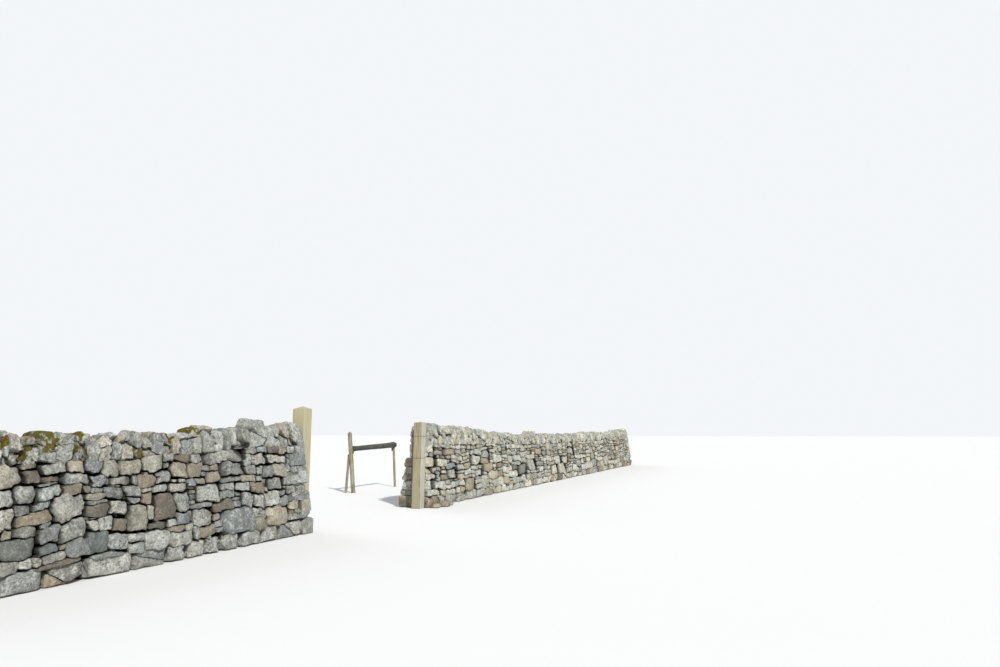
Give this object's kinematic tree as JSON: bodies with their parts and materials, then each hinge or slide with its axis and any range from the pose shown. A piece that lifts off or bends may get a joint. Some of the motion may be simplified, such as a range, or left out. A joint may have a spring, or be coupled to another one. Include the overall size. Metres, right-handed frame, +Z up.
{
  "type": "dry-stone wall with posted gateway",
  "caption": "Dry-stone limestone field wall with an open gateway between two square timber gateposts and a low rail frame on stakes behind the gap.",
  "frame": {"origin": "middle of the left gatepost's foot, on the ground", "axes": "+X along the wall from the left-hand stretch to the right-hand stretch, +Y from the track side to the field side, +Z up"},
  "size_m": [28.6226, 3.7392, 1.8295],
  "materials": {
    "walling": "rough limestone with pale lichen",
    "footings": "rough weathered limestone",
    "hearting": "dark packed rubble",
    "cope": "rough limestone with lichen and moss",
    "new_timber": "sawn softwood",
    "old_timber": "weathered grey softwood",
    "rail_bark": "dark bark",
    "strap_iron": "rusted iron"
  },
  "bodies": {
    "root": {"left_footings": "footings", "left_front_face": "walling", "left_back_face": "walling", "left_hearting": "hearting", "left_cope": "cope", "left_outer_ties": "walling", "left_outer_runners": "walling", "left_gateway_ties": "walling", "left_gateway_runners": "walling", "near_footings": "footings", "near_front_face": "walling", "near_back_face": "walling", "near_hearting": "hearting", "near_cope": "cope", "middle_footings": "footings", "middle_front_face": "walling", "middle_back_face": "walling", "middle_hearting": "hearting", "middle_cope": "cope", "far_footings": "footings", "far_front_face": "walling", "far_back_face": "walling", "far_hearting": "hearting", "far_cope": "cope", "right_gateway_ties": "walling", "right_gateway_runners": "walling", "right_outer_ties": "walling", "right_outer_runners": "walling", "left_gatepost": "new_timber", "right_gatepost": "old_timber", "rail": "rail_bark", "rail_straps": "strap_iron", "tall_stake": "old_timber", "short_stake": "old_timber", "end_stake": "old_timber", "fallen_stones": "walling"}
  },
  "joints": []
}
